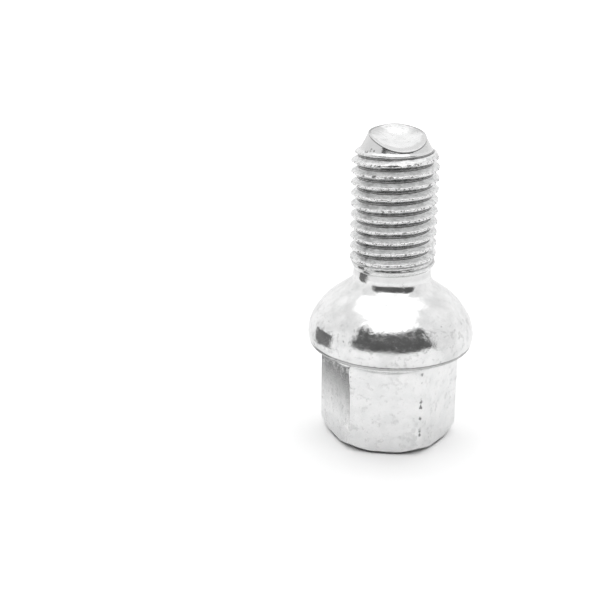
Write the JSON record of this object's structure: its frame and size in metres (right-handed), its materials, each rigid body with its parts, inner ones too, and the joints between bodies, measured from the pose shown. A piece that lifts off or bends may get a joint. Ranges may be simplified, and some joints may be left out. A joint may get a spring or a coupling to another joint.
{
  "type": "wheel bolt",
  "caption": "Wheel bolt with a hex head, a collar with a ball seat, a short neck and a metric fine thread, standing on its head.",
  "frame": {"origin": "centre of the head's flat end face, on the surface that the bolt stands on", "axes": "+Z along the bolt's axis from the head to the thread's tip; one hex corner lies 7.5 degrees clockwise from +X seen from the tip, and the low side of the cropped tip faces about -Y"},
  "size_m": [0.0232, 0.0232, 0.0442],
  "materials": {
    "zinc_plated_steel": "bright zinc plating on forged steel, slightly mottled, with small dents and pits"
  },
  "bodies": {
    "root": {"bolt": "zinc_plated_steel"}
  },
  "joints": []
}
